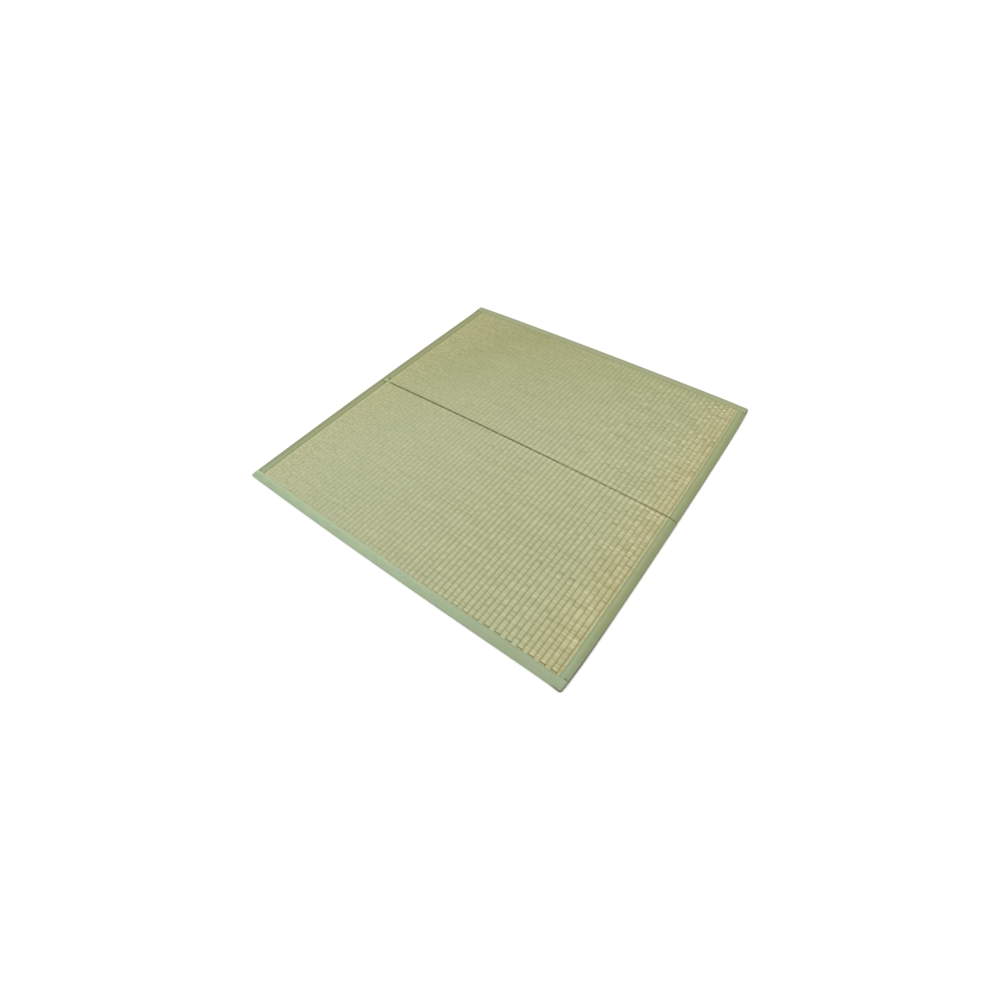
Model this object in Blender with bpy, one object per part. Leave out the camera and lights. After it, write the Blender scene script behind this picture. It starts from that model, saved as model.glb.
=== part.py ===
"""A square rush mat that folds once across its middle, with cloth bindings on its four edges.

One woven rush sheet lies flat. Its ribs run front to back, and a pressed fold line crosses them.
Two side strips and two end strips of green cloth wrap the sheet's edges, above and below.
+X runs along the fold line and the rush stalks, +Y from the front edge to the back edge, +Z up.
The origin is at the middle of the underside. Lengths are in metres.
"""
import math

import bmesh
import bpy

# Driving dimensions
SIDE = 1.750
THICKNESS = 0.0060
BINDING_WIDTH = 0.042
CLOTH = 0.0010
GAP = 0.0003

RIB_COUNT = 66
SELVAGE_WIDTH = 0.0127
SELVAGE_SLOPE = 0.0020
GROOVE_HEIGHT = 0.0032
RIB_SLOPE_LENGTH = 0.0020
RUSH_EDGE_INSET = 0.0030
CORNER_TRIM = 0.0030

CREASE_HALF_WIDTH = 0.0030
CREASE_HEIGHT = 0.0022
CREASE_RIB_RISE = 0.0008
BINDING_CREASE_DEPTH = 0.0006
BINDING_CREASE_NOTCH = 0.0020

CORNER_RADIUS = 0.010
CORNER_STEPS = 4
FOLD_STEPS = 6
LONG_STEPS = 12

# How far the worn mat lies from a true square: its edges swell out, and the fold line runs
# from a little behind the middle at the right to a little in front of it at the left
EDGE_SWELL = 0.0088
CREASE_RIGHT_SHIFT = 0.0184
CREASE_LEFT_DROP = 0.0266

# The ribs bow to the left, more in the left half. They also lean to the right, more and more
# towards the back, up to near the side strips, which a high power keeps them clear of
RIB_BOW = 0.0180
BOW_GAIN_LEFT = 0.89
BOW_TWIST = 0.30
RIB_LEAN = 0.0057
LEAN_POWER = 12

# Sizes that follow
HALF = SIDE / 2
FOLD_RADIUS = THICKNESS / 2
POCKET_RADIUS = FOLD_RADIUS - CLOTH
INNER_LINE = HALF - BINDING_WIDTH
FIELD_HALF = INNER_LINE - GAP
EDGE_BOTTOM = CLOTH + GAP
EDGE_TOP = THICKNESS - CLOTH - GAP
EDGE_CREASE_TOP = EDGE_TOP - BINDING_CREASE_DEPTH

# Height of one rib across its pitch: place as a share of the pitch, height as a share of the rise
RIB_PLACE, RIB_RISE = 0, 1
RIB_PROFILE = [
    (0.00, 0.00),
    (0.08, 0.62),
    (0.25, 1.00),
    (0.75, 1.00),
    (0.92, 0.62),
]

# Edges sharper than these stay sharp in the shading
SHARP_RUSH = math.radians(50)
SHARP_CLOTH = math.radians(60)

# Base colour, linear, and roughness
RUSH = ("rush", (0.42, 0.43, 0.24), 0.75)
END_CLOTH = ("end binding cloth", (0.33, 0.47, 0.30), 0.85)
SIDE_CLOTH = ("side binding cloth", (0.27, 0.38, 0.21), 0.85)


def clear_scene():
    for thing in list(bpy.data.objects):
        bpy.data.objects.remove(thing, do_unlink=True)


def make_material(look):
    name, colour, roughness = look
    material = bpy.data.materials.new(name)
    material.use_nodes = True
    surface = material.node_tree.nodes["Principled BSDF"]
    surface.inputs["Base Color"].default_value = (*colour, 1.0)
    surface.inputs["Roughness"].default_value = roughness
    surface.inputs["Metallic"].default_value = 0.0
    return material


def settle(x, y):
    """Where a point of the true square lies on the worn mat."""
    across = x / HALF
    along = y / HALF
    inside_x = 1 - across ** 2
    inside_y = 1 - along ** 2
    crease_shift = CREASE_RIGHT_SHIFT - CREASE_LEFT_DROP * ((1 - across) / 2) ** 2
    bow_share = max(0.0, 1 - (x / FIELD_HALF) ** 2)
    lean_share = max(0.0, 1 - (x / FIELD_HALF) ** LEAN_POWER)
    bow = RIB_BOW * (1 - BOW_GAIN_LEFT * across + BOW_TWIST * across * along) * bow_share
    lean = RIB_LEAN * (1 + along) ** 2 * lean_share
    settled_x = x + across * EDGE_SWELL * inside_y - bow + lean
    settled_y = y + along * EDGE_SWELL * inside_x + crease_shift * inside_y
    return settled_x, settled_y


def add_piece(name, bm, material, smooth_angle):
    """Settles the corners in plan, turns every face outward and adds the object."""
    for corner in bm.verts:
        corner.co.x, corner.co.y = settle(corner.co.x, corner.co.y)
    bmesh.ops.recalc_face_normals(bm, faces=bm.faces[:])
    mesh = bpy.data.meshes.new(name)
    bm.to_mesh(mesh)
    bm.free()
    mesh.shade_smooth()
    mesh.set_sharp_from_angle(angle=smooth_angle)
    mesh.materials.append(material)
    piece = bpy.data.objects.new(name, mesh)
    bpy.context.collection.objects.link(piece)
    return piece


def quad_strip(bm, near, far):
    """Joins two rows of corners, which have the same length, with quads."""
    for index in range(len(near) - 1):
        bm.faces.new((near[index], near[index + 1], far[index + 1], far[index]))


def sheet_columns():
    """Each column of the sheet from left to right: its place, its height, and in the fold line."""
    ribs_end = FIELD_HALF - SELVAGE_WIDTH
    pitch = 2 * ribs_end / RIB_COUNT
    ribs = []
    for rib in range(RIB_COUNT):
        for point in RIB_PROFILE:
            place = (rib + point[RIB_PLACE]) * pitch - ribs_end
            height = GROOVE_HEIGHT + point[RIB_RISE] * (THICKNESS - GROOVE_HEIGHT)
            ribs.append((place, height, CREASE_HEIGHT + point[RIB_RISE] * CREASE_RIB_RISE))
    ribs.append((ribs_end, GROOVE_HEIGHT, CREASE_HEIGHT))
    selvage = [(x, EDGE_TOP, EDGE_CREASE_TOP) for x in (ribs_end + SELVAGE_SLOPE, FIELD_HALF)]
    left_selvage = [(-x, height, in_crease) for x, height, in_crease in selvage[::-1]]
    return left_selvage + ribs + selvage


def square_ring(bm, half, height, trim, end_places, side_places):
    """Points round a square of this half width, from the front left corner to the right.

    The places along the ends and the sides are those of the sheet's own edge, scaled, and the
    four corners are trimmed, which lets them into the strips' rounded corners.
    """
    scale = half / end_places[-1]
    points = [(x * scale, -half) for x in end_places[:-1]]
    points += [(half, y * scale) for y in side_places[:-1]]
    points += [(x * scale, half) for x in end_places[:0:-1]]
    points += [(-half, y * scale) for y in side_places[:0:-1]]
    ring = []
    for x, y in points:
        if abs(x) == abs(y) == half:
            x -= math.copysign(trim, x)
            y -= math.copysign(trim, y)
        ring.append(bm.verts.new((x, y, height)))
    return ring


def make_rush_sheet(material):
    """The woven sheet: ribs and fold line above, flat below, thinner where the strips wrap it."""
    bm = bmesh.new()
    columns = sheet_columns()
    outer = HALF - RUSH_EDGE_INSET
    slope_end = FIELD_HALF - RIB_SLOPE_LENGTH
    back_rows = [CREASE_HALF_WIDTH, slope_end / 3, slope_end * 2 / 3, slope_end, FIELD_HALF]
    row_places = [-y for y in back_rows[::-1]] + [0.0] + back_rows
    last_row = len(row_places) - 1
    crease_row = last_row // 2
    field = []
    for row, y in enumerate(row_places):
        line = []
        for x, height, height_in_crease in columns:
            if row in (0, last_row):
                height = EDGE_TOP
            if row == crease_row:
                height = height_in_crease
            line.append(bm.verts.new((x, y, height)))
        field.append(line)
    for near, far in zip(field, field[1:]):
        quad_strip(bm, near, far)

    # Rings round the sheet: its edge above and below, the step over the lower flaps, the floor
    side_places = [-outer] + row_places + [outer]
    end_places = [outer * (step / LONG_STEPS - 1) for step in range(2 * LONG_STEPS + 1)]
    ring_sizes = ((outer, EDGE_TOP, CORNER_TRIM), (outer, EDGE_BOTTOM, CORNER_TRIM),
                  (FIELD_HALF, EDGE_BOTTOM, 0.0), (slope_end, 0.0, 0.0))
    rings = [square_ring(bm, *sizes, end_places, side_places) for sizes in ring_sizes]
    top_ring, under_ring, _, floor_ring = rings
    for wide, narrow in zip(rings, rings[1:]):
        quad_strip(bm, wide + wide[:1], narrow + narrow[:1])
    bm.faces.new(floor_ring)

    # The fold line pinches the sheet's side edges
    end_count = len(end_places) - 1
    side_count = len(side_places) - 1
    right_crease = end_count + 1 + crease_row
    left_crease = 2 * end_count + side_count + 1 + crease_row
    for ring in (top_ring, under_ring):
        ring[right_crease].co.x -= BINDING_CREASE_NOTCH
        ring[left_crease].co.x += BINDING_CREASE_NOTCH
    top_ring[right_crease].co.z = EDGE_CREASE_TOP
    top_ring[left_crease].co.z = EDGE_CREASE_TOP

    # The thin margins: quads at the sides, where the fold line runs out, and one face at each end
    front = top_ring[:end_count + 1]
    right = top_ring[end_count:end_count + side_count + 1]
    back = top_ring[end_count + side_count:2 * end_count + side_count + 1]
    left = (top_ring[2 * end_count + side_count:] + top_ring[:1])[::-1]
    quad_strip(bm, left[1:-1], [line[0] for line in field])
    quad_strip(bm, right[1:-1], [line[-1] for line in field])
    bm.faces.new(front + [right[1]] + field[0][::-1] + [left[1]])
    bm.faces.new(back + [left[-2]] + field[-1] + [right[-2]])
    return add_piece("rush_sheet", bm, material, SHARP_RUSH)


def fold_profile(radius):
    """A half round from the upper face to the lower, as inset from the edge and height."""
    points = []
    for step in range(FOLD_STEPS + 1):
        angle = math.pi * step / FOLD_STEPS
        points.append((FOLD_RADIUS - radius * math.sin(angle),
                       FOLD_RADIUS + radius * math.cos(angle)))
    return points


def make_side_binding(name, side, material):
    """A strip of cloth folded over a side edge: a C section run along the mat."""
    bm = bmesh.new()
    straight = FIELD_HALF - CREASE_HALF_WIDTH
    places = [-FIELD_HALF + straight * step / LONG_STEPS for step in range(LONG_STEPS + 1)]
    places = places + [0.0] + [-place for place in places[::-1]]

    def section(y):
        in_crease = y == 0.0
        dip = BINDING_CREASE_DEPTH if in_crease else 0.0
        notch = BINDING_CREASE_NOTCH if in_crease else 0.0
        outside = [(BINDING_WIDTH, THICKNESS)] + fold_profile(FOLD_RADIUS) + [(BINDING_WIDTH, 0.0)]
        inside = [(BINDING_WIDTH, THICKNESS - CLOTH)] + fold_profile(POCKET_RADIUS)
        inside.append((BINDING_WIDTH, CLOTH))
        corners = []
        for inset, height in outside + inside[::-1]:
            share = max(0.0, min(1.0, (height - FOLD_RADIUS) / POCKET_RADIUS))
            nearness = 1 - inset / BINDING_WIDTH
            x = side * (HALF - inset - notch * nearness)
            corners.append(bm.verts.new((x, y, height - dip * share)))
        return corners

    sections = [section(y) for y in places]
    for near, far in zip(sections, sections[1:]):
        quad_strip(bm, near + near[:1], far + far[:1])
    bm.faces.new(sections[0])
    bm.faces.new(sections[-1])
    return add_piece(name, bm, material, SHARP_CLOTH)


def end_outline(inset):
    """Plan of an end strip, from one open end round both rounded corners to the other.

    The points lie this far inside the mat's outline. They start and end on the strip's inner line.
    """
    radius = CORNER_RADIUS - inset
    centre = HALF - CORNER_RADIUS
    arc = []
    for step in range(CORNER_STEPS + 1):
        angle = math.pi / 2 * step / CORNER_STEPS
        arc.append((centre + radius * math.cos(angle), centre + radius * math.sin(angle)))
    straight = []
    for step in range(1, 2 * LONG_STEPS):
        straight.append((centre * (step / LONG_STEPS - 1), HALF - inset))
    points = [(-x, y) for x, y in arc] + straight + arc[::-1]
    return [(inset - HALF, INNER_LINE)] + points + [(HALF - inset, INNER_LINE)]


def make_end_binding(name, end, material):
    """A strip of cloth folded over an end edge and tucked in at both corners, open inward."""
    bm = bmesh.new()

    def mouth_line(height):
        """The cut edge of one flap, from right to left, between the strip's two ends."""
        reach = HALF - FOLD_RADIUS
        places = [reach * (1 - step / LONG_STEPS) for step in range(1, 2 * LONG_STEPS)]
        return [bm.verts.new((x, end * INNER_LINE, height)) for x in places]

    def face_of_cloth(radius):
        """The upper flap, fold and lower flap, and the line round the strip's mouth."""
        rows = []
        for inset, height in fold_profile(radius):
            rows.append([bm.verts.new((x, end * y, height)) for x, y in end_outline(inset)])
        for near, far in zip(rows, rows[1:]):
            quad_strip(bm, near, far)
        upper = mouth_line(FOLD_RADIUS + radius)
        lower = mouth_line(FOLD_RADIUS - radius)
        bm.faces.new(rows[0] + upper)
        bm.faces.new(rows[-1] + lower)
        right_side = [row[-1] for row in rows]
        left_side = [row[0] for row in rows[::-1]]
        return right_side + lower + left_side + upper[::-1]

    outside = face_of_cloth(FOLD_RADIUS)
    inside = face_of_cloth(POCKET_RADIUS)
    quad_strip(bm, outside + outside[:1], inside + inside[:1])
    return add_piece(name, bm, material, SHARP_CLOTH)


def main():
    clear_scene()
    rush = make_material(RUSH)
    end_cloth = make_material(END_CLOTH)
    side_cloth = make_material(SIDE_CLOTH)
    make_rush_sheet(rush)
    make_end_binding("binding_front", -1, end_cloth)
    make_end_binding("binding_back", 1, end_cloth)
    make_side_binding("binding_left", -1, side_cloth)
    make_side_binding("binding_right", 1, side_cloth)


main()
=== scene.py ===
"""The looks of a square rush mat that folds across its middle and is bound with green cloth.

The rush sheet, its four bindings and their stitching are modelled as fine meshes around the
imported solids, with procedural finishes. Lengths are in metres, +Z up, origin under the middle.
"""
import math

import bmesh
import bpy
import numpy as np
from mathutils import Matrix, Vector


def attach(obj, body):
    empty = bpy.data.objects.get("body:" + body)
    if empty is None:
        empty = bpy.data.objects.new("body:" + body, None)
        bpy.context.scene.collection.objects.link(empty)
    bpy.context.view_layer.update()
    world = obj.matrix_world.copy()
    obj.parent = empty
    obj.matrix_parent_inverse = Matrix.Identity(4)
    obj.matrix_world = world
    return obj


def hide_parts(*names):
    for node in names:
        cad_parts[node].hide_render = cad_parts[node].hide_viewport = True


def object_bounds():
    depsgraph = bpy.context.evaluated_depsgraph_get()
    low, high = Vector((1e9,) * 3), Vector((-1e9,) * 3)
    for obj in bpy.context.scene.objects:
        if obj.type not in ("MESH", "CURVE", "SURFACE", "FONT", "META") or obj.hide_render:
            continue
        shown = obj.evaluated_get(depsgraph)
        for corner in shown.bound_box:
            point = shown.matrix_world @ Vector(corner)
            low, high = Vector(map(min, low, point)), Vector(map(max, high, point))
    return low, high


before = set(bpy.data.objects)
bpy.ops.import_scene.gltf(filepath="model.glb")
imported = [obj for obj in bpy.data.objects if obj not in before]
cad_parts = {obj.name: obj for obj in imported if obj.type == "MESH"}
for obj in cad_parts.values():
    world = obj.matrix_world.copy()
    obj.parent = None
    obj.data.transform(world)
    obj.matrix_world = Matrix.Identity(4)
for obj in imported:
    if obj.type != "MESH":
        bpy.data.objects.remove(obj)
cad_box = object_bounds()

# The mat's size, from the frame's box, and its strips of cloth
EDGE_SWELL = 0.0088
HALF = cad_box[1][0] - EDGE_SWELL
THICKNESS = cad_box[1][2]
BINDING_WIDTH = 0.042
CLOTH = 0.0010
GAP = 0.0003
INNER_LINE = HALF - BINDING_WIDTH
FIELD_HALF = INNER_LINE - GAP
FOLD_RADIUS = THICKNESS / 2
CORNER_RADIUS = 0.010

# The mat's unevenness, as in the solids: how its fold line and ribs bend and lean
CREASE_RIGHT_SHIFT = 0.0184
CREASE_LEFT_DROP = 0.0266
RIB_BOW = 0.0180
BOW_GAIN_LEFT = 0.89
BOW_TWIST = 0.30
RIB_LEAN = 0.0057
LEAN_POWER = 12

# How far the photo's ribs and fold line lie off those of the solids. The fold line's right part
# starts at a share of the mat's half width, and its length is such a share too.
RIB_SHIFT = 0.0018
FOLD_FORWARD = 0.0015
FOLD_FORWARD_LEFT = 0.0015
FOLD_FORWARD_RIGHT = 0.0048
FOLD_RIGHT_START = 0.45
FOLD_RIGHT_LENGTH = 0.50

# How far three of the photo's corners, all but the front left, lie off those of the solids
CORNER_SHIFT_X = -0.0075
CORNER_SHIFT_Y = -0.0053
CORNER_POWER = 12

# The rush sheet
RUSH_EDGE = HALF - 0.0030
RUSH_EDGE_BOTTOM = CLOTH + GAP
RUSH_EDGE_TOP = THICKNESS - CLOTH - GAP
CORNER_TRIM = 0.0030
RIB_COUNT = 66
SELVAGE_WIDTH = 0.0127
RIBS_END = FIELD_HALF - SELVAGE_WIDTH
RIB_PITCH = 2 * RIBS_END / RIB_COUNT
GROOVE_HEIGHT = 0.0033
FLATTER_RISE = 0.0015
PLUMPNESS = 0.00022
STALK_PITCH = 0.0025
ROW_STEP = 0.0090
MARGIN_SLOPE = 0.0022

# One rib across its pitch: place as a share of the pitch, height as a share of the rise
RIB_PLACE, RIB_RISE = 0, 1
RIB_PROFILE = [(0.00, 0.00), (0.06, 0.46), (0.18, 0.84),
               (0.50, 0.98), (0.80, 0.86), (0.94, 0.46)]
LOW_RIB_PROFILE = [(0.0, 0.0), (0.12, 1.0), (0.88, 1.0)]
LOW_GROOVE = 0.0008
END_ROWS = 10
LOW_ROW_THINNING = 8

# The notch at the ends of every other rib
RIB_END_INSET = 0.0040
NOTCH_WIDTH = 0.0011
NOTCH_DEPTH = 0.0016

# The fold line: its groove, which fades at the left end, and the lips beside it
CREASE_HEIGHT = 0.0016
CREASE_RIB_RISE = 0.0007
CREASE_WIDTH = 0.0036
CREASE_SPREAD = 0.62 * CREASE_WIDTH
CREASE_NOTCH = 0.0020
CREASE_FADE = 0.7
CREASE_FADE_START = 0.058
CREASE_FADE_END = 0.010
LIP_PLACE = 0.0062
LIP_WIDTH = 0.0022
LIP_RISE = 0.00025

# The selvage beyond the last rib: distance from the ribs' end and height
SELVAGE_PROFILE = [(0.0016, 0.0042), (0.0060, 0.0042), (0.0078, 0.0051), (0.0098, 0.0051)]
SELVAGE_RIDGE = 0.0088

# The strips' cloth, and how far the fold line leans to the front across a side strip
YARN_PITCH = 0.00042
CREASE_LEAN = 0.20
CREASE_DIP = 0.0009
EDGE_DROOP = 0.0007
DROOP_START = BINDING_WIDTH - 0.016
DROOP_END = BINDING_WIDTH - 0.003

# A strip's hem: its rounded edge, its thickness, and the puckers of its seam
HEM_EDGE_DROP = 0.0006
HEM_EDGE_WIDTH = 0.0008
HEM_RISE = 0.00045
HEM_START = 0.0075
HEM_END = 0.0115
SEAM_DEPTH = 0.00040
SEAM_WIDTH = 0.0009
PUCKER_RISE = 0.00016
PUCKER_REACH = 0.010
PUCKER_LENGTH = 0.021
LONG_PUCKER_LENGTH = 0.047

# Where an end strip laps a side strip: its rise, and the dash of shadow beside it
LAP_RISE = 0.0007
LAP_START = INNER_LINE - 0.012
LAP_END = INNER_LINE + 0.002
LAP_SHADOW_LINE = FIELD_HALF - 0.0032
LAP_SHADOW_PLACE = 0.027

# The front and back strips' right corners, where painted shade darkens the cloth's fold
CORNER_SHADE_START = HALF - 0.060
CORNER_SHADE_END = HALF - 0.020
CORNER_SHADE_WIDTH = 0.005

# Where the left strip is pinched at the fold line: its two dimples and the raised fold between
PINCH_PLACES = (-0.0125, 0.0250)
PINCH_INSET = 0.004
PINCH_SIZE = 0.0075
PINCH_DEPTH = 0.0016
PINCH_RIDGE = 0.0014

# Stitching along the inner edge of each strip
STITCH_INSET = 0.0045
STITCH_PITCH = 0.0075
STITCH_LENGTH = 0.0052
STITCH_RADIUS = 0.00055
STITCH_SIDES = 6
STITCH_TURN = 0.035
STITCH_STRETCH = (0.92, 1.06)
STITCH_LIFT = 0.00010
LOWER_STITCH_HEIGHT = 0.00045
CORNER_WITHOUT_STITCHES = 0.006

# Where tones of the finishes begin and end: distances from the line that each belongs to
LIP_HIGHLIGHT_START = (0.005, 0.011)
LIP_HIGHLIGHT_END = (0.018, 0.032)
CREASE_SHADE = (0.0022, 0.0080)
NOTCH_SHADE = (0.0008, 0.0026)
SELVAGE_TONE = (0.0002, 0.0008)
RIDGE_TONE = (0.0004, 0.0019)
SELVAGE_SHADE = (0.0102, 0.0122)
HEM_HIGHLIGHT = (0.004, 0.015)
SEAM_SHADE = (0.0006, 0.0028)
OUTER_SHADE = (BINDING_WIDTH - 0.032, BINDING_WIDTH - 0.014)
RIM_SHADE = (BINDING_WIDTH - 0.007, BINDING_WIDTH - 0.002)
STRIP_CREASE_SHADE = (0.0016, 0.0066)
LAP_SHADOW_WIDTH = (0.0012, 0.0026)
LAP_SHADOW_REACH = (0.004, 0.008)

# Depths of the finishes' fine relief
STALK_DEPTH = 0.00030
YARN_DEPTH = 0.00018
PLY_DEPTH = 0.00012

# The photograph's camera, fitted to the mat's outline in a frame of 1000 by 1000 pixels
IMAGE_SIDE = 1000
FOCAL_PIXELS = 511.5
CENTRE_PIXEL_X = 519.2
CAMERA_PLACE = Vector((1.1344, -1.4040, 1.7766))
CAMERA_RIGHT = Vector((0.8089, 0.5873, -0.0273))
CAMERA_BACK = Vector((0.3859, -0.4953, 0.7783))

# Surroundings: the broad key light, the white room and the floor
KEY_DIRECTION = (-0.60, -0.35, 0.72)
KEY_STRENGTH = 1.15
KEY_SPREAD_DEGREES = 40
ROOM_STRENGTH = 0.86
FLOOR_REACH = 40.0


# Shapes

def settle(x, y):
    """Where points of the true square lie on the worn mat."""
    across = x / HALF
    along = y / HALF
    inside_x = 1 - across ** 2
    inside_y = 1 - along ** 2
    right_end = np.maximum(0.0, (across - FOLD_RIGHT_START) / FOLD_RIGHT_LENGTH)
    forward = FOLD_FORWARD + FOLD_FORWARD_RIGHT * right_end ** 2
    left_drop = CREASE_LEFT_DROP + FOLD_FORWARD_LEFT
    crease_shift = CREASE_RIGHT_SHIFT - left_drop * ((1 - across) / 2) ** 2 - forward
    bow_share = np.maximum(0.0, 1 - (x / FIELD_HALF) ** 2)
    lean_share = np.maximum(0.0, 1 - (x / FIELD_HALF) ** LEAN_POWER)
    bow = RIB_BOW * (1 - BOW_GAIN_LEFT * across + BOW_TWIST * across * along) * bow_share
    lean = (RIB_LEAN * (1 + along) ** 2 + RIB_SHIFT) * lean_share
    settled_x = x + across * EDGE_SWELL * inside_y - bow + lean
    settled_y = y + along * EDGE_SWELL * inside_x + crease_shift * inside_y
    at_front_left = (across < 0) & (along < 0)
    corner = np.where(at_front_left, 0.0, np.abs(across * along) ** CORNER_POWER)
    return settled_x + CORNER_SHIFT_X * corner, settled_y + CORNER_SHIFT_Y * corner


def smooth(value, start, end):
    """0 before start, 1 after end, and an even rise between them."""
    share = np.clip((value - start) / (end - start), 0.0, 1.0)
    return share * share * (3 - 2 * share)


def drift(rng, places, spacing):
    """A smooth random line from -1 to 1 along these places, with a new value each spacing."""
    knots = (places - places.min()) / spacing
    values = rng.uniform(-1, 1, int(knots.max()) + 3)
    step = np.floor(knots).astype(int)
    share = knots - step
    share = share * share * (3 - 2 * share)
    return values[step] * (1 - share) + values[step + 1] * share


def make_piece(name, points, faces, marks, finish, node=None):
    """Adds a mesh whose points carry a named mark for the finish, attaches it to the root, and
    hides the solid it stands for, if one is given.
    """
    mesh = bpy.data.meshes.new(name)
    mesh.from_pydata(points.tolist(), [], faces)
    mark_name, values = marks
    mark = mesh.attributes.new(mark_name, "FLOAT_VECTOR", "POINT")
    mark.data.foreach_set("vector", np.asarray(values, dtype=np.float32).ravel())
    bm = bmesh.new()
    bm.from_mesh(mesh)
    bmesh.ops.recalc_face_normals(bm, faces=bm.faces[:])
    bm.to_mesh(mesh)
    bm.free()
    mesh.shade_smooth()
    mesh.materials.append(finish)
    piece = bpy.data.objects.new(name, mesh)
    bpy.context.collection.objects.link(piece)
    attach(piece, "root")
    if node:
        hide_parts(node)
    return piece


def grid_quads(rows, columns, first=0):
    """Quads of a grid of points that are counted row by row."""
    return [(first + row * columns + column, first + row * columns + column + 1,
             first + (row + 1) * columns + column + 1, first + (row + 1) * columns + column)
            for row in range(rows - 1) for column in range(columns - 1)]


def zip_rows(near, near_places, far, far_places):
    """Triangles between two rows with different counts of points, in the order of their places."""
    faces = []
    here, there = 0, 0
    while here < len(near) - 1 or there < len(far) - 1:
        near_is_next = there == len(far) - 1 or (
            here < len(near) - 1 and near_places[here + 1] <= far_places[there + 1])
        if near_is_next:
            faces.append((near[here], near[here + 1], far[there]))
            here += 1
        else:
            faces.append((near[here], far[there + 1], far[there]))
            there += 1
    return faces


def sheet_rows():
    """Places of the sheet's rows from front to back, closer at its ends and at the fold line."""
    crease = np.array([0.0, 0.0007, 0.0016, 0.0026, 0.0040, 0.0065, 0.0105])
    end = FIELD_HALF - np.array([0.0165, 0.0110, 0.0066, 0.0052, 0.0040, 0.0028, 0.0016, 0.0])
    count = round((end[0] - crease[-1]) / ROW_STEP)
    between = np.linspace(crease[-1], end[0], count + 1)[1:-1]
    half = np.concatenate([crease, between, end, [RUSH_EDGE]])
    return np.concatenate([-half[:0:-1], half])


def sheet_columns(profile, selvage):
    """Each column from left to right: its place, share of a rib's rise, and selvage height."""
    ribs = [((rib + point[RIB_PLACE]) * RIB_PITCH - RIBS_END, point[RIB_RISE], 0.0)
            for rib in range(RIB_COUNT) for point in profile]
    ribs.append((RIBS_END, 0.0, 0.0))
    margin = [(RIBS_END + out, 0.0, height) for out, height in selvage]
    margin += [(FIELD_HALF, 0.0, RUSH_EDGE_TOP), (RUSH_EDGE, 0.0, RUSH_EDGE_TOP)]
    left_margin = [(-place, rise, height) for place, rise, height in margin[::-1]]
    return np.array(left_margin + ribs + margin).T


def rib_lumps(rng, ribs, rows):
    """How plump each rib is along its length: stalks show on every other rib, which are alike."""
    shared = [drift(rng, rows, 0.013) + 0.6 * drift(rng, rows, 0.034) for _ in range(2)]
    lumps = np.zeros((len(rows), len(ribs)))
    own = [0.5 * drift(rng, rows, 0.016) for _ in range(RIB_COUNT)]
    for column, place in enumerate(ribs):
        rib = int(np.clip(place, 0, RIB_COUNT - 1))
        lumps[:, column] = shared[rib % 2] + own[rib]
    return lumps


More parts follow.
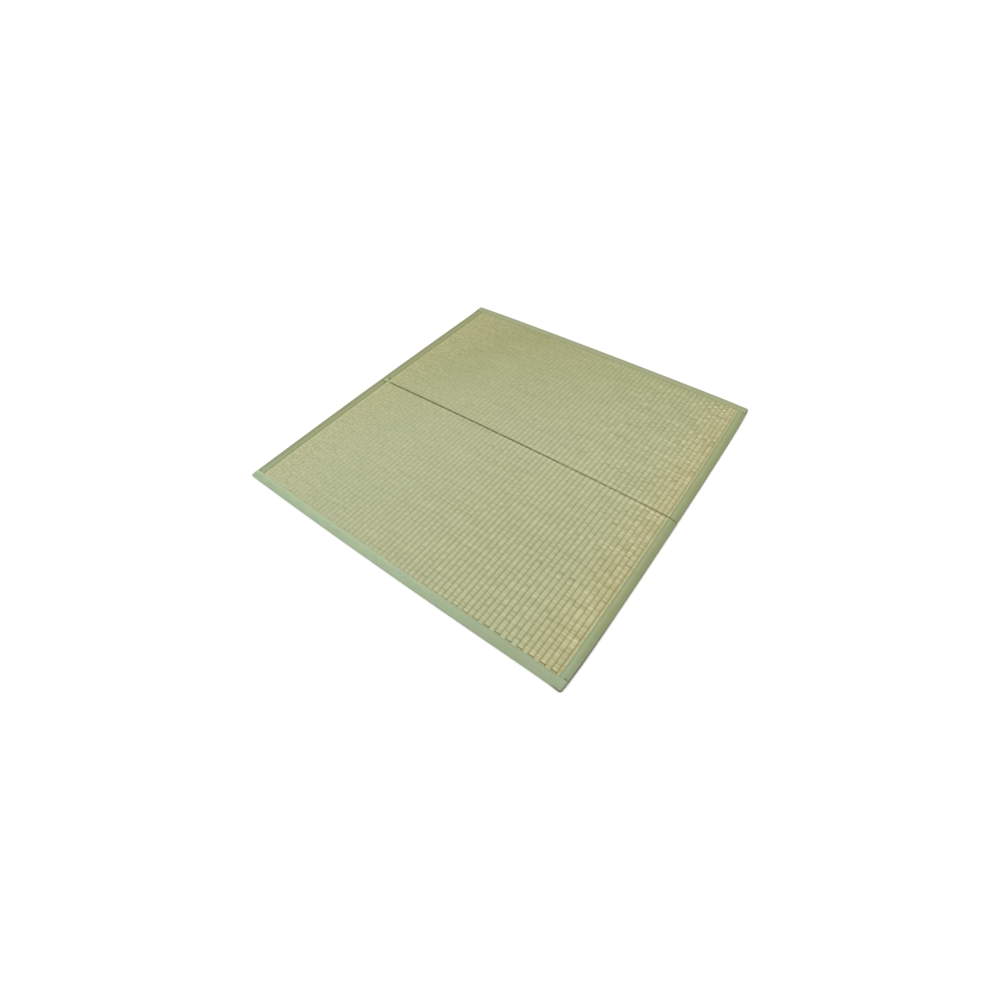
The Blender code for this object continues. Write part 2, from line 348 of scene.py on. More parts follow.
def make_rush_sheet(finish):
    """The woven sheet: plump ribs above, a fold line, low ribs below, and thin margins."""
    rng = np.random.default_rng(11)
    rows = sheet_rows()
    x, rise, selvage_height = sheet_columns(RIB_PROFILE, SELVAGE_PROFILE)
    ribs = (x + RIBS_END) / RIB_PITCH
    inside = FIELD_HALF - np.abs(rows)[:, None]
    odd_rib = (np.round(ribs - 0.5) % 2 == 1)[None, :]

    # Upper face: ribs between grooves, which are shallower towards the back left
    crest = THICKNESS + PLUMPNESS * rib_lumps(rng, ribs, rows)
    flatter = smooth((0.5 * rows[:, None] - x[None, :]) / FIELD_HALF, 0.0, 0.8)
    low = np.where(selvage_height > 0, selvage_height, GROOVE_HEIGHT + FLATTER_RISE * flatter)
    height = low + rise[None, :] * (crest - low)

    # The fold line with its lips, and the notches
    lip = np.exp(-((np.abs(rows) - LIP_PLACE) / LIP_WIDTH) ** 2)[:, None]
    height += LIP_RISE * lip * rise[None, :]
    left_end = smooth(-x, FIELD_HALF - CREASE_FADE_START, FIELD_HALF - CREASE_FADE_END)[None, :]
    crease = np.exp(-(np.abs(rows) / CREASE_SPREAD) ** 2)[:, None]
    crease = crease * (1 - CREASE_FADE * left_end)
    crease_floor = CREASE_HEIGHT + CREASE_RIB_RISE * rise[None, :]
    height = height * (1 - crease) + crease_floor * crease
    notch = np.exp(-((inside - RIB_END_INSET) / NOTCH_WIDTH) ** 2) * odd_rib
    height -= NOTCH_DEPTH * notch * rise[None, :]

    # The thin margin that runs in under the strips
    edge = np.minimum(inside, (FIELD_HALF - np.abs(x))[None, :])
    onto_margin = smooth(edge, 0.0, MARGIN_SLOPE)
    height = RUSH_EDGE_TOP * (1 - onto_margin) + height * onto_margin
    upper = np.stack(np.broadcast_arrays(x[None, :], rows[:, None], height), -1)
    upper_marks = np.stack(np.broadcast_arrays(ribs[None, :], rows[:, None], 0.0), -1)

    # Lower face, with fewer columns and rows
    low_x, low_rise, _ = sheet_columns(LOW_RIB_PROFILE, [])
    low_ribs = (low_x + RIBS_END) / RIB_PITCH
    low_rows = np.concatenate([rows[:END_ROWS], rows[END_ROWS:-END_ROWS:LOW_ROW_THINNING],
                               rows[-END_ROWS:]])
    low_inside = np.minimum(FIELD_HALF - np.abs(low_rows)[:, None],
                            (FIELD_HALF - np.abs(low_x))[None, :])
    low_height = LOW_GROOVE * (1 - low_rise)[None, :] * np.ones((len(low_rows), 1))
    onto_field = smooth(low_inside, 0.0, MARGIN_SLOPE)
    low_height = RUSH_EDGE_BOTTOM * (1 - onto_field) + low_height * onto_field
    lower = np.stack(np.broadcast_arrays(low_x[None, :], low_rows[:, None], low_height), -1)
    lower_marks = np.stack(np.broadcast_arrays(low_ribs[None, :], low_rows[:, None], 0.0), -1)

    # The corners are trimmed, and the fold line pinches the side edges
    for face, places in ((upper, rows), (lower, low_rows)):
        for row, sign_y in ((0, -1), (-1, 1)):
            for column, sign_x in ((0, -1), (-1, 1)):
                face[row, column, :2] -= (sign_x * CORNER_TRIM, sign_y * CORNER_TRIM)
        pinch = CREASE_NOTCH * np.exp(-(places / CREASE_WIDTH) ** 2)
        face[:, 0, 0] += pinch
        face[:, -1, 0] -= pinch

    count = len(rows) * len(ribs)
    upper_index = np.arange(count).reshape(len(rows), len(ribs))
    lower_index = count + np.arange(len(low_rows) * len(low_ribs))
    lower_index = lower_index.reshape(len(low_rows), len(low_ribs))
    faces = grid_quads(len(rows), len(ribs))
    faces += [quad[::-1] for quad in grid_quads(len(low_rows), len(low_ribs), count)]
    for end in (0, -1):
        faces += zip_rows(upper_index[end].tolist(), x, lower_index[end].tolist(), low_x)
        faces += zip_rows(upper_index[:, end].tolist(), rows,
                          lower_index[:, end].tolist(), low_rows)
    points = np.concatenate([upper.reshape(-1, 3), lower.reshape(-1, 3)])
    marks = np.concatenate([upper_marks.reshape(-1, 3), lower_marks.reshape(-1, 3)])
    points[:, 0], points[:, 1] = settle(points[:, 0], points[:, 1])
    piece = make_piece("rush_weave", points, faces, ("weave", marks), finish, "rush_sheet")


def outline_distance(x, y):
    """How far inside the mat's rounded square outline a point lies."""
    straight = HALF - CORNER_RADIUS
    beyond_x = np.abs(x) - straight
    beyond_y = np.abs(y) - straight
    in_corner = (beyond_x > 0) & (beyond_y > 0)
    corner = CORNER_RADIUS - np.hypot(beyond_x, beyond_y)
    side = HALF - np.maximum(np.abs(x), np.abs(y))
    return np.where(in_corner, corner, side)


def fold_rise(distance, radius):
    """Height of a half round fold above its middle, this far from its outer edge."""
    inside = np.clip(distance, 0.0, radius)
    return np.sqrt(np.maximum(radius ** 2 - (radius - inside) ** 2, 0.0))


def cloth_shell(name, outside, inside, marks, quads, finish, node):
    """Closes two faces of a folded cloth, which share their layout, round their free edges."""
    count = len(outside)
    faces = list(quads)
    faces += [tuple(count + corner for corner in quad[::-1]) for quad in quads]
    uses = {}
    for quad in quads:
        for here, there in zip(quad, quad[1:] + quad[:1]):
            key = (min(here, there), max(here, there))
            uses[key] = uses.get(key, 0) + 1
    for (here, there), times in uses.items():
        if times == 1:
            faces.append((here, there, count + there, count + here))
    points = np.concatenate([outside, inside])
    points[:, 0], points[:, 1] = settle(points[:, 0], points[:, 1])
    marks = np.concatenate([marks, marks])
    used = sorted({corner for face in faces for corner in face})
    renumber = {old: new for new, old in enumerate(used)}
    faces = [tuple(renumber[corner] for corner in face) for face in faces]
    piece = make_piece(name, points[used], faces, ("cloth", marks[used]), finish, node)


def strip_rows():
    """Distances from the strip's inner edge to the outline, close at the hem and at the fold."""
    hem = [0.0, 0.0002, 0.0007, 0.0016, 0.0030, 0.0038, 0.0045, 0.0052, 0.0062, 0.0085, 0.0125]
    middle = [0.0190, 0.0260, 0.0330]
    fold = [BINDING_WIDTH - inset for inset in
            (0.0050, 0.0034, 0.0024, 0.0016, 0.0009, 0.0004, 0.0001, 0.0)]
    return np.array(hem + middle + fold)


def hem_relief(from_edge, along, rng):
    """The hem's rounded edge, the trough of its seam, and soft puckers between stitches."""
    edge_drop = HEM_EDGE_DROP * (1 - smooth(from_edge, 0.0, HEM_EDGE_WIDTH))
    hem = HEM_RISE * (1 - smooth(from_edge, HEM_START, HEM_END))
    seam = SEAM_DEPTH * np.exp(-((from_edge - STITCH_INSET) / SEAM_WIDTH) ** 2)
    pucker = drift(rng, along, PUCKER_LENGTH) + 0.7 * drift(rng, along, LONG_PUCKER_LENGTH)
    near_seam = np.exp(-((from_edge - STITCH_INSET) / PUCKER_REACH) ** 2)
    wave = PUCKER_RISE * pucker * (0.35 + near_seam)
    return hem - edge_drop - seam + wave


def strip_quads(runs, rows, closed_ends):
    """Quads of a strip's upper and lower flap, which share the points on the outline."""
    last_run, last_row = runs - 1, rows - 1

    def corner(run, row, below):
        on_outline = row == last_row or (closed_ends and run in (0, last_run))
        return run * rows + row + (runs * rows if below and not on_outline else 0)

    quads = []
    for run in range(last_run):
        for row in range(last_row):
            ring = ((run, row), (run + 1, row), (run + 1, row + 1), (run, row + 1))
            quads.append(tuple(corner(*place, False) for place in ring))
            quads.append(tuple(corner(*place, True) for place in ring[::-1]))
    return quads


def make_side_binding(name, side, finish, node, seed):
    """A cloth strip folded over a side edge, nipped where the mat folds."""
    rng = np.random.default_rng(seed)
    near_crease = np.array([0.0, 0.0012, 0.0025, 0.0040, 0.0060, 0.0080, 0.0105, 0.0135])
    count = round((FIELD_HALF - near_crease[-1]) / 0.0050)
    half = np.concatenate([near_crease, np.linspace(near_crease[-1], FIELD_HALF, count)[1:]])
    along = np.concatenate([-half[:0:-1], half])
    from_edge = strip_rows()
    nip = np.exp(-(along / CREASE_WIDTH) ** 2)[:, None]
    lean = np.exp(-((along[:, None] + CREASE_LEAN * from_edge[None, :]) / CREASE_WIDTH) ** 2)
    droop = EDGE_DROOP * smooth(from_edge, DROOP_START, DROOP_END)[None, :]
    relief = hem_relief(from_edge[None, :], along[:, None], rng)
    relief = relief * smooth(BINDING_WIDTH - from_edge, 0.0005, 0.0040)[None, :]
    pinch = np.zeros((len(along), len(from_edge)))
    if side < 0:
        inward = np.exp(-((from_edge - PINCH_INSET) / PINCH_SIZE) ** 2)[None, :]
        for place in PINCH_PLACES:
            pinch += np.exp(-((along - place) / PINCH_SIZE) ** 2)[:, None] * inward
        ridge = np.exp(-((along - np.mean(PINCH_PLACES)) / (1.4 * PINCH_SIZE)) ** 2)[:, None]
        ridge = ridge * np.exp(-(from_edge / (3 * PINCH_SIZE)) ** 2)[None, :]
        relief += PINCH_RIDGE * ridge - PINCH_DEPTH * pinch
        pinch -= ridge

    def flap(inset, upper):
        radius = FOLD_RADIUS - inset
        reach = BINDING_WIDTH - inset
        share = from_edge[None, :] / BINDING_WIDTH
        x = INNER_LINE + reach * share - CREASE_NOTCH * nip * share
        y = along[:, None] * np.ones_like(share)
        rise = fold_rise(reach * (1 - share) * np.ones_like(y), radius)
        if upper:
            rise = rise - (CREASE_DIP * lean + droop) * smooth(rise, 0.0, radius)
            rise = rise + (relief if inset == 0 else 0.0)
        z = FOLD_RADIUS + (rise if upper else -rise)
        return np.stack([side * x, y, z], -1).reshape(-1, 3)

    outside = np.concatenate([flap(0.0, True), flap(0.0, False)])
    inside = np.concatenate([flap(CLOTH, True), flap(CLOTH, False)])
    mark = np.stack(np.broadcast_arrays(along[:, None], from_edge[None, :], pinch), -1)
    mark = mark.reshape(-1, 3)
    marks = np.concatenate([mark, mark * (1, 1, 0)])
    quads = strip_quads(len(along), len(from_edge), closed_ends=False)
    cloth_shell(name, outside, inside, marks, quads, finish, node)


def make_end_binding(name, end, finish, node, seed):
    """A cloth strip folded over an end edge, whose tucked-in ends lap the side strips."""
    rng = np.random.default_rng(seed)
    tip = np.array([0.0, 0.0001, 0.0004, 0.0009, 0.0016, 0.0024, 0.0034, 0.0050, 0.0075, 0.0110,
                    0.0160, 0.0220, 0.0290, 0.0360])
    count = round((HALF - tip[-1]) / 0.0060)
    half = np.concatenate([np.linspace(0.0, HALF - tip[-1], count)[:-1], HALF - tip[::-1]])
    along = np.concatenate([-half[:0:-1], half])
    from_edge = strip_rows()
    lap = LAP_RISE * smooth(np.abs(along), LAP_START, LAP_END)[:, None]
    droop = EDGE_DROOP * smooth(from_edge, DROOP_START, DROOP_END)[None, :]
    relief = hem_relief(from_edge[None, :], along[:, None], rng)

    def flap(inset, upper):
        radius = FOLD_RADIUS - inset
        x = along[:, None] * (HALF - inset) / HALF * np.ones((1, len(from_edge)))
        bend = np.clip(np.abs(x) - (HALF - CORNER_RADIUS), 0.0, CORNER_RADIUS - inset)
        reach = (HALF - CORNER_RADIUS - INNER_LINE
                 + np.sqrt((CORNER_RADIUS - inset) ** 2 - bend ** 2))
        y = INNER_LINE + reach * from_edge[None, :] / BINDING_WIDTH
        rise = fold_rise(outline_distance(x, y) - inset, radius)
        rise[:, -1] = 0.0
        rise[[0, -1], :] = 0.0
        if upper:
            on_top = relief + lap if inset == 0 else 0.0
            rise = rise + (on_top - droop) * smooth(rise, 0.0, radius)
        z = FOLD_RADIUS + (rise if upper else -rise)
        return np.stack([x, end * y, z], -1).reshape(-1, 3)

    outside = np.concatenate([flap(0.0, True), flap(0.0, False)])
    inside = np.concatenate([flap(CLOTH, True), flap(CLOTH, False)])
    # the right corner's fold gets painted shade
    at_corner = smooth(along[:, None], CORNER_SHADE_START, CORNER_SHADE_END)
    from_outline = outline_distance(along[:, None], INNER_LINE + from_edge[None, :])
    painted_shading = at_corner * np.exp(-(from_outline / CORNER_SHADE_WIDTH) ** 2)
    mark = np.stack(np.broadcast_arrays(along[:, None], from_edge[None, :], painted_shading), -1)
    mark = mark.reshape(-1, 3)
    marks = np.concatenate([mark, mark])
    quads = strip_quads(len(along), len(from_edge), closed_ends=True)
    cloth_shell(name, outside, inside, marks, quads, finish, node)


def stitch_shape():
    """One stitch along X: a short thread that dives into the cloth at both ends."""
    lengths = [(-0.50, -0.5), (-0.40, 0.4), (0.0, 1.0), (0.40, 0.4), (0.50, -0.5)]
    sides = STITCH_SIDES
    points = []
    for place, lift in lengths:
        for side in range(sides):
            angle = 2 * math.pi * side / sides
            points.append((place * STITCH_LENGTH, STITCH_RADIUS * math.cos(angle),
                           STITCH_RADIUS * (math.sin(angle) + lift - 0.6)))
    faces = []
    for ring in range(len(lengths) - 1):
        for side in range(sides):
            following = (side + 1) % sides
            faces.append((ring * sides + side, ring * sides + following,
                          (ring + 1) * sides + following, (ring + 1) * sides + side))
    faces.append(tuple(range(sides))[::-1])
    faces.append(tuple((len(lengths) - 1) * sides + side for side in range(sides)))
    return np.array(points), faces


def make_stitching(name, side_x, side_y, reach, finish, seed):
    """A seam of stitches along one strip, above and below."""
    rng = np.random.default_rng(seed)
    shape, shape_faces = stitch_shape()
    line = INNER_LINE + STITCH_INSET
    count = int(2 * reach / STITCH_PITCH)
    points = []
    faces = []
    marks = []
    for upper in (True, False):
        for stitch in range(count):
            centre = -reach + (stitch + 0.5) * 2 * reach / count
            turn = rng.normal(0.0, STITCH_TURN)
            stretch = rng.uniform(*STITCH_STRETCH)
            along = centre + shape[:, 0] * stretch
            across = line + shape[:, 1] + shape[:, 0] * turn
            if upper:
                z = THICKNESS + STITCH_LIFT + shape[:, 2]
            else:
                z = LOWER_STITCH_HEIGHT - 0.5 * shape[:, 2]
            if side_x:
                x, y = side_x * across, along
            else:
                x, y = along, side_y * across
            first = len(points) * len(shape)
            points.append(np.stack([x, y, z], -1))
            faces += [tuple(first + corner for corner in face) for face in shape_faces]
            turns = np.arange(len(shape)) % STITCH_SIDES / STITCH_SIDES
            tone = np.full(len(shape), rng.uniform())
            marks.append(np.stack([tone, shape[:, 0] / STITCH_LENGTH, turns], -1))
    points = np.concatenate(points)
    points[:, 0], points[:, 1] = settle(points[:, 0], points[:, 1])
    make_piece(name, points, faces, ("thread", np.concatenate(marks)), finish)


# Finishes

class Value:
    """A socket of a finish. Sums with it add Math nodes."""

    def __init__(self, finish, socket):
        self.finish = finish
        self.socket = socket

    def maths(self, operation, *values):
        return self.finish.add("ShaderNodeMath", {"operation": operation},
                               dict(enumerate((self, *values))))

    def __add__(self, other):
        return self.maths("ADD", other)

    __radd__ = __add__

    def __sub__(self, other):
        return self.maths("SUBTRACT", other)

    def __rsub__(self, other):
        return (self * -1) + other

    def __mul__(self, other):
        return self.maths("MULTIPLY", other)

    __rmul__ = __mul__

    def __truediv__(self, other):
        return self.maths("DIVIDE", other)

    def __mod__(self, other):
        return self.maths("FLOORED_MODULO", other)

    def floor(self):
        return self.maths("FLOOR")

    def size(self):
        return self.maths("ABSOLUTE")

    def sine(self):
        return self.maths("SINE")

    def rises(self, start, end):
        """0 before start, 1 after end, and an even rise between them."""
        return self.finish.add(
            "ShaderNodeMapRange", {"interpolation_type": "SMOOTHSTEP"},
            {"Value": self, "From Min": start, "From Max": end, "To Min": 0.0, "To Max": 1.0})

    def falls(self, start, end):
        return 1 - self.rises(start, end)


class Finish:
    """A material in the making, with one way to add any node."""

    def __init__(self, name):
        self.material = bpy.data.materials.new(name)
        self.material.use_nodes = True
        self.tree = self.material.node_tree
        self.surface = self.tree.nodes["Principled BSDF"]

    def add(self, kind, settings=None, sockets=None, output=0):
        node = self.tree.nodes.new(kind)
        for setting, value in (settings or {}).items():
            setattr(node, setting, value)
        for socket, value in (sockets or {}).items():
            self.put(node.inputs[socket], value)
        return Value(self, node.outputs[output])

    def put(self, socket, value):
        if isinstance(value, Value):
            self.tree.links.new(value.socket, socket)
        else:
            socket.default_value = value

    def set(self, **sockets):
        for name, value in sockets.items():
            self.put(self.surface.inputs[name.replace("_", " ")], value)

    def mark(self, name):
        """The three parts of a mark on the mesh's points."""
        vector = self.add("ShaderNodeAttribute", {"attribute_name": name}, output="Vector")
        return [self.add("ShaderNodeSeparateXYZ", sockets={0: vector}, output=part)
                for part in range(3)]

    def vector(self, x, y, z):
        return self.add("ShaderNodeCombineXYZ", sockets={0: x, 1: y, 2: z})

    def noise(self, x, y, z, detail=2.0, roughness=0.5):
        return self.add("ShaderNodeTexNoise", {"noise_dimensions": "3D"},
                        {"Vector": self.vector(x, y, z), "Scale": 1.0, "Detail": detail,
                         "Roughness": roughness})

    def chance(self, x, y, z):
        return self.add("ShaderNodeTexWhiteNoise", {"noise_dimensions": "3D"},
                        {"Vector": self.vector(x, y, z)})

    def blend(self, share, first, second):
        """A mix of two colours. The colours are sockets or plain (red, green, blue)."""
        first, second = (value if isinstance(value, Value) else (*value, 1.0)
                         for value in (first, second))
        return self.add("ShaderNodeMix", {"data_type": "RGBA"},
                        {0: share, 6: first, 7: second}, output=2)

    def relief(self, height, distance):
        self.set(Normal=self.add("ShaderNodeBump", sockets={
            "Strength": 1.0, "Distance": distance, "Height": height}, output="Normal"))


def srgb(red, green, blue):
    """A linear colour from screen values of 0 to 255."""
    def linear(value):
        value /= 255
        return value / 12.92 if value <= 0.04045 else ((value + 0.055) / 1.055) ** 2.4
    return linear(red), linear(green), linear(blue)


def rush_finish():
    """Woven rush: stalks across the ribs, green in the middle and tan towards their root ends."""
    finish = Finish("woven rush")
    ribs, along, _ = finish.mark("weave")
    rib = ribs.floor()
    share = ribs - rib
    parity = rib % 2
    across = ribs * RIB_PITCH - RIBS_END

    # Side runs from -1 at the left to 1 at the right, and depth from -1 in front to 1 at the back
    side = across / FIELD_HALF
    depth = along / FIELD_HALF
    from_groove = 0.5 - (share - 0.5).size()
    groove = from_groove.falls(0.0, 0.30)
    near_front = depth.falls(-1.0, 0.9)
    sharp = side.rises(-0.9, 0.75) * (0.55 + 0.45 * near_front)
    far_right = side.rises(0.74, 0.97)
    far_left = side.falls(-0.98, -0.60)
    back_right = side.rises(0.2, 0.9) * (1 - near_front)

    # Stalks show on every other rib, half a step apart on the ones between
    stalk_place = along / STALK_PITCH + parity * 0.5
    stalk = stalk_place.floor()
    stalk_share = stalk_place - stalk
    stalk_round = stalk_share * (1 - stalk_share) * 4
    single = finish.chance(stalk, parity, (rib / 6).floor())
    pair = finish.chance((stalk / 2).floor(), parity + 3, (rib / 10).floor())
    bunch = finish.noise(across * 4.0, along * 64, parity * 9.1 + 3, detail=2, roughness=0.6)
    band = finish.noise(across * 8.0, along * 105, parity * 5.3 + 8, detail=2)
    cloud = finish.noise(across * 2.4, along * 2.4, 5.0, detail=3)
    root_end = (side.size() + (bunch - 0.5) * 0.18 + (cloud - 0.5) * 0.2).rises(0.70, 1.04)

    # The whole cloth, from pale grey green at the front left to yellower at the back left, with
    # painted shade that darkens it towards the back left and the back
    back_left = (depth - side).rises(-0.2, 1.7)
    right = side.rises(-0.6, 1.0)
    colour = finish.blend(right, srgb(172, 179, 144), srgb(175, 180, 141))
    colour = finish.blend(back_left, colour, srgb(154, 158, 110))
    colour = finish.blend(depth.rises(0.1, 1.0) * 0.27, colour, srgb(152, 152, 106))
    at_back = depth.rises(0.40, 0.95)
    # painted shade: darker towards the back, most at the back left
    back_shade = at_back * (0.03 + 0.21 * side.falls(-0.6, 0.2) + 0.09 * far_right)
    colour = finish.blend(back_shade, colour, srgb(126, 126, 80))
    colour = finish.blend(cloud.rises(0.3, 0.7) * 0.2, colour, srgb(182, 180, 138))
    colour = finish.blend(root_end * (0.10 + 0.60 * right), colour, srgb(188, 180, 136))

    # Light and dark stalks, alone and in bunches
    right_end = 0.16 * far_right + 0.52 * back_right
    light = bunch.rises(0.50, 0.66) * (0.10 + 0.24 * sharp + right_end)
    light = light + single.rises(0.75, 1.0) * (0.18 + 0.16 * sharp)
    colour = finish.blend(light, colour, srgb(202, 201, 158))
    dark = band.rises(0.52, 0.70) * (0.09 + 0.14 * sharp + right_end)
    dark = dark + pair.falls(0.05, 0.09) * (0.14 + 0.20 * sharp)
    colour = finish.blend(dark + single.falls(0.0, 0.25) * (0.08 + 0.16 * sharp), colour,
                          srgb(132, 132, 86))
    tuft_place = (along / (2 * STALK_PITCH) + parity * 0.5).floor()
    grain = finish.chance(tuft_place, rib * 0.5 + 7, 1.0)
    tuft = finish.chance(tuft_place, parity + 5, 2.0)
    fine = finish.chance(stalk, parity + 9, (rib / 4).floor())
    fleck = (0.45 * tuft + 0.20 * grain + 0.65 * fine - 0.65) * (
        0.40 * sharp * sharp + 0.66 * far_right + 0.24 * far_left)
    colour = finish.blend(fleck * 0.90, colour, srgb(212, 209, 166))
    colour = finish.blend(fleck * -0.90, colour, srgb(122, 118, 74))
    streak = finish.noise(across * 11, along * 100, 21.0, detail=2, roughness=0.6)
    colour = finish.blend(streak.rises(0.50, 0.68) * (0.14 + 0.06 * far_left), colour,
                          srgb(142, 138, 94))
    colour = finish.blend(streak.falls(0.34, 0.50) * (0.12 + 0.06 * far_left), colour,
                          srgb(202, 199, 156))
    mottle = finish.noise(across * 46, along * 120, 33.0, detail=1)
    mottled = (1 - sharp) * (0.16 + 0.13 * far_left)
    colour = finish.blend(mottle.rises(0.50, 0.64) * mottled, colour, srgb(142, 140, 96))
    colour = finish.blend(mottle.falls(0.36, 0.50) * mottled, colour, srgb(202, 200, 156))
    straw = (bunch + (single - 0.5) * 0.5).rises(0.46, 0.62) * (far_right + far_left * 0.2)
    colour = finish.blend(straw * 0.50, colour, srgb(204, 198, 152))
    brown = (band + (single - 0.5) * 0.5).rises(0.54, 0.68) * (far_right + far_left * 0.2)
    colour = finish.blend(brown * 0.40, colour, srgb(150, 132, 86))

    # The selvage: a pale broken ridge, then shade towards the strip's hem
    beyond = across.size() - RIBS_END
    ridge = (beyond - SELVAGE_RIDGE).size().falls(*RIDGE_TONE) * band.falls(0.48, 0.60)
    selvage = finish.blend(right, srgb(180, 186, 138), srgb(170, 167, 122))
    colour = finish.blend(beyond.rises(*SELVAGE_TONE) * 0.75, colour, selvage)
    colour = finish.blend(ridge * (0.12 + 0.64 * near_front), colour, srgb(216, 212, 170))
    wider = side.falls(-1.0, 0.0) * (0.0030 + 0.0060 * depth.rises(-0.7, 0.8))
    shade = (beyond + wider).rises(*SELVAGE_SHADE)
    colour = finish.blend(shade * 0.35, colour, srgb(120, 122, 76))

    # The fold line's lips get a painted highlight; the grooves, the fold line and the notches at
    # the ribs' ends get painted shade
    # painted highlight: a lighter band on the lips beside the fold line, on its right part
    lip = along.size().rises(*LIP_HIGHLIGHT_START) * along.size().falls(*LIP_HIGHLIGHT_END)
    colour = finish.blend(lip * side.rises(-0.1, 0.3) * 0.24, colour, srgb(206, 205, 166))
    # painted shade in the grooves between the ribs
    colour = finish.blend(groove * sharp * 0.41, colour, srgb(108, 110, 62))
    # painted shade in the fold line's groove, lighter towards the right
    crease = along.size().falls(*CREASE_SHADE)
    crease_shade = 0.45 + 0.14 * parity + 0.14 * single + 0.30 * streak
    crease_shade = (crease_shade - 0.24 * side.rises(-0.3, 0.8)) * side.rises(-1.0, -0.96)
    colour = finish.blend(crease * crease_shade, colour, srgb(84, 86, 34))
    from_end = FIELD_HALF - along.size()
    # painted shade in the notches at the ends of every other rib
    notch = (from_end - RIB_END_INSET).size().falls(*NOTCH_SHADE) * parity
    from_middle = side.rises(0.0, 1.0)
    colour = finish.blend(notch * near_front * (0.05 + 0.79 * from_middle), colour,
                          srgb(92, 92, 54))
    finish.set(Base_Color=colour)

    fibre = finish.noise(across * 160, along * 2400, parity, detail=2)
    finish.set(Roughness=0.66 + 0.16 * single + 0.10 * groove, Specular_IOR_Level=0.22)
    stalks = stalk_round * 0.8 + fibre * 0.3 + single * 0.3
    finish.relief(stalks * (1 - groove * 0.5), STALK_DEPTH)
    return finish.material


def cloth_finish(name, base, hem, shade, patches, side_tones=None, right_tone=None):
    """Plain woven binding cloth with a painted highlight along its hem, a sewn seam, and painted
    shade on its fold.

    The patches are two tones it fades to here and there. A side strip has tones of its own near
    its front and back ends, and the front strip has one towards the right. The last part of the
    mark says how much painted shade an end strip has at its right corner, or how pinched a side
    strip is: below 0 on its raised fold.
    """
    finish = Finish(name)
    along, from_edge, painted_shading = finish.mark("cloth")
    weave = (along * (math.pi / YARN_PITCH)).sine() * (from_edge * (math.pi / YARN_PITCH)).sine()
    slub = finish.noise(along * 900, from_edge * 60, 2.0) + finish.noise(along * 60,
                                                                         from_edge * 900, 7.0)
    cloud = finish.noise(along * 9, from_edge * 30, 3.0, detail=3)
    colour = finish.blend(cloud.rises(0.32, 0.68), shade, base)
    for number, patch in enumerate(patches):
        fade = finish.noise(along * 19, from_edge * 34, 11.0 + 6 * number, detail=3)
        colour = finish.blend(fade.rises(0.46, 0.60) * 0.52, colour, patch)
    # painted highlight along the hem
    colour = finish.blend(from_edge.falls(*HEM_HIGHLIGHT) * 0.7, colour, hem)
    colour = finish.blend(slub.rises(0.9, 1.15) * 0.2, colour, hem)
    if side_tones:
        front_tone, back_tone = side_tones
        colour = finish.blend(along.falls(-0.84, -0.55) * 0.7, colour, front_tone)
        colour = finish.blend(along.rises(-0.20, 0.55) * 0.75, colour, back_tone)
    if right_tone:
        colour = finish.blend(along.rises(-0.05, 0.70) * 0.7, colour, right_tone)
    # deep is the cloth's colour in painted shade
    deep = tuple(0.36 * part for part in shade)
    seam = (from_edge - STITCH_INSET).size().falls(*SEAM_SHADE)
    outer_shade = from_edge.rises(*OUTER_SHADE)
    rim_shade = from_edge.rises(*RIM_SHADE)
    if side_tones:
        # painted shade in the seam's trough and on the fold's outer part, and on its rim, darkest
        # near the front
        colour = finish.blend(seam * 0.30 + outer_shade * 0.26, colour, deep)
        colour = finish.blend(rim_shade * (0.26 + 0.60 * along.falls(-0.80, -0.50)), colour,
                              srgb(94, 94, 74))
        # painted shade in the strip's crease at the fold line
        crease = (along + CREASE_LEAN * from_edge).size().falls(*STRIP_CREASE_SHADE)
        colour = finish.blend(crease * 0.68, colour, deep)
        shadow = (along.size() - LAP_SHADOW_LINE).size().falls(*LAP_SHADOW_WIDTH)
        shadow = shadow * (from_edge - LAP_SHADOW_PLACE).size().falls(*LAP_SHADOW_REACH)
        colour = finish.blend(shadow * 0.8, colour, deep)
        # painted shade in the pinched strip's dimples, and a painted highlight on the raised fold
        # between them
        colour = finish.blend(painted_shading * 1.2, colour, srgb(78, 120, 30))
        colour = finish.blend(painted_shading * -0.65, colour, srgb(192, 206, 162))
    else:
        # a little painted shade in the seam and on the fold, and grey painted shade on its rim
        colour = finish.blend(seam * 0.07 + outer_shade * 0.06, colour, deep)
        colour = finish.blend(rim_shade * 0.36, colour, srgb(132, 134, 124))
        # painted shade on the fold at the right corner
        colour = finish.blend(painted_shading * 0.8, colour, srgb(92, 94, 74))
    finish.set(Base_Color=colour, Roughness=0.86 + 0.08 * cloud, Specular_IOR_Level=0.2)
    finish.relief(weave * 0.5 + slub * 0.6, YARN_DEPTH)
    return finish.material


def thread_finish(name, pale, deep):
    """Sewing thread of two twisted plies, a little different in tone from stitch to stitch."""
    finish = Finish(name)
    tone, along, turn = finish.mark("thread")
    plies = ((along * 5 + turn) * (2 * math.pi)).sine()
    fuzz = finish.noise(along * 40, turn * 9, tone * 30)
    colour = finish.blend(tone, pale, deep)
    # painted shade between the twisted plies
    colour = finish.blend(plies.falls(-1.0, 0.2) * 0.5, colour, tuple(0.5 * part for part in deep))
    finish.set(Base_Color=colour, Roughness=0.70 + 0.14 * fuzz, Specular_IOR_Level=0.25)
    finish.relief(plies + fuzz * 0.6, PLY_DEPTH)
    return finish.material


# Surroundings

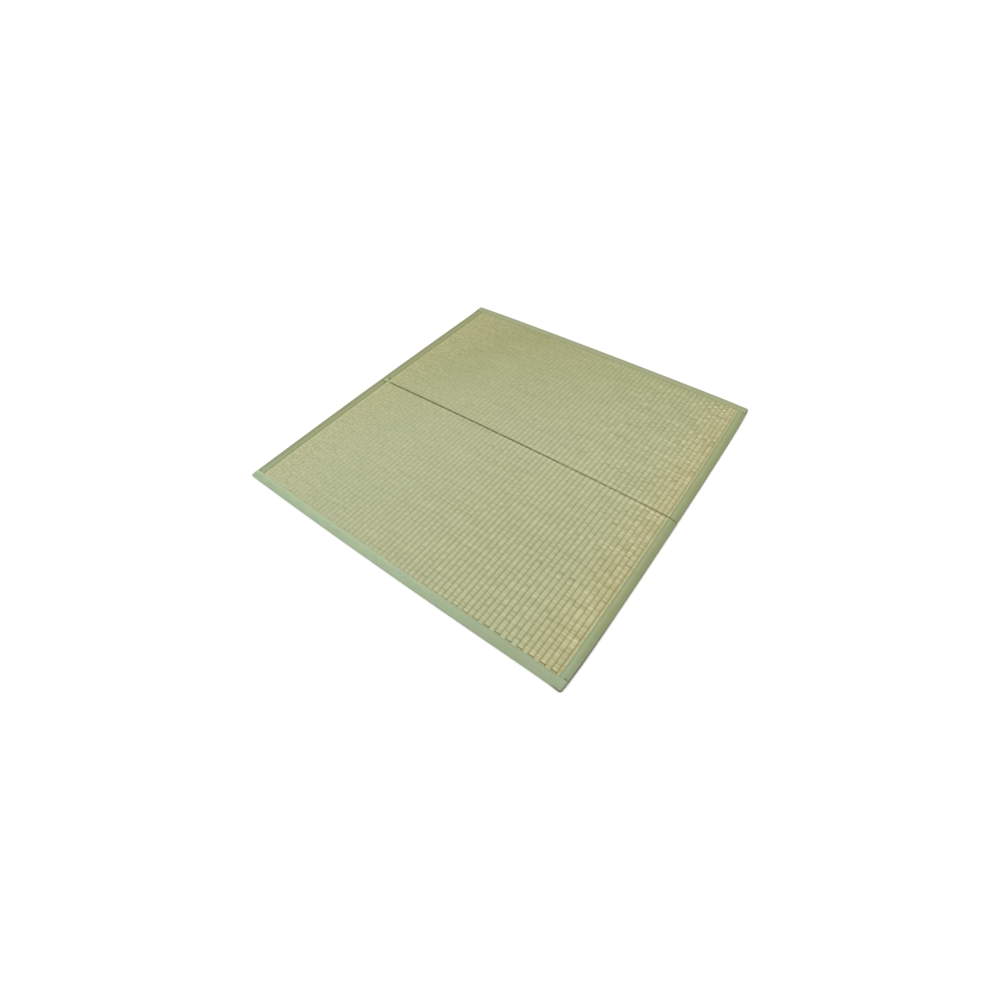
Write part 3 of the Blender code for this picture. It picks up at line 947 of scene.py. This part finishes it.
def make_floor():
    finish = Finish("pale floor")
    finish.set(Base_Color=(0.93, 0.93, 0.92, 1.0), Roughness=0.9)
    mesh = bpy.data.meshes.new("floor")
    ring = ((-1, -1), (1, -1), (1, 1), (-1, 1))
    corners = [(x * FLOOR_REACH, y * FLOOR_REACH, 0) for x, y in ring]
    mesh.from_pydata(corners, [], [(0, 1, 2, 3)])
    mesh.materials.append(finish.material)
    floor = bpy.data.objects.new("floor", mesh)
    bpy.context.collection.objects.link(floor)


def make_surroundings():
    """A broad soft light from the front left in a bright white room."""
    make_floor()
    light = bpy.data.lights.new("soft light", "SUN")
    light.energy = KEY_STRENGTH
    light.angle = math.radians(KEY_SPREAD_DEGREES)
    lamp = bpy.data.objects.new("soft light", light)
    lamp.rotation_euler = Vector(KEY_DIRECTION).to_track_quat("Z", "Y").to_euler()
    bpy.context.collection.objects.link(lamp)
    world = bpy.data.worlds.new("white room")
    world.use_nodes = True
    background = world.node_tree.nodes["Background"]
    background.inputs["Color"].default_value = (1.0, 1.0, 1.0, 1.0)
    background.inputs["Strength"].default_value = ROOM_STRENGTH
    bpy.context.scene.world = world
    bpy.context.scene.view_settings.view_transform = "Standard"


def make_camera():
    data = bpy.data.cameras.new("camera")
    data.sensor_width = 36.0
    data.lens = FOCAL_PIXELS / IMAGE_SIDE * data.sensor_width
    data.shift_x = (IMAGE_SIDE / 2 - CENTRE_PIXEL_X) / IMAGE_SIDE
    camera = bpy.data.objects.new("camera", data)
    up = CAMERA_BACK.cross(CAMERA_RIGHT)
    turn = Matrix((CAMERA_RIGHT, up, CAMERA_BACK)).transposed()
    camera.location = CAMERA_PLACE
    camera.rotation_euler = turn.to_euler()
    bpy.context.collection.objects.link(camera)
    bpy.context.scene.camera = camera


def main():
    make_camera()
    make_surroundings()
    make_rush_sheet(rush_finish())
    # The four strips are of one cloth; the tones that differ from strip to strip are painted sheen
    # and shade, as the light falls differently on each
    bluish, yellowish = srgb(148, 172, 150), srgb(168, 182, 142)
    front_cloth = cloth_finish("front binding cloth", srgb(163, 180, 148), srgb(184, 194, 160),
                               srgb(155, 172, 140), (bluish, yellowish),
                               right_tone=srgb(150, 161, 129))
    back_cloth = cloth_finish("back binding cloth", srgb(158, 163, 128), srgb(161, 164, 125),
                              srgb(151, 156, 119), (srgb(152, 164, 134), srgb(162, 163, 122)))
    right_cloth = cloth_finish("right binding cloth", srgb(155, 162, 119), srgb(161, 168, 127),
                               srgb(147, 152, 110), (srgb(143, 166, 112), srgb(158, 163, 128)),
                               side_tones=(srgb(157, 172, 140), srgb(154, 162, 120)))
    left_cloth = cloth_finish("left binding cloth", srgb(155, 162, 120), srgb(158, 165, 123),
                              srgb(148, 153, 112), (srgb(146, 160, 114), srgb(154, 154, 122)),
                              side_tones=(srgb(158, 171, 138), srgb(153, 153, 111)))
    green_thread = thread_finish("green thread", srgb(150, 176, 132), srgb(120, 146, 104))
    make_end_binding("front_binding", -1, front_cloth, "binding_front", 21)
    make_end_binding("back_binding", 1, back_cloth, "binding_back", 22)
    make_side_binding("left_binding", -1, left_cloth, "binding_left", 23)
    make_side_binding("right_binding", 1, right_cloth, "binding_right", 24)
    for name, side_x, side_y, slot, seed in (
            ("front_stitching", 0, -1, "end_cloth", 31),
            ("back_stitching", 0, 1, "end_cloth", 32),
            ("left_stitching", -1, 0, "side_cloth", 33),
            ("right_stitching", 1, 0, "side_cloth", 34)):
        reach = FIELD_HALF if side_x else HALF - CORNER_WITHOUT_STITCHES
        make_stitching(name, side_x, side_y, reach, green_thread, seed)


main()
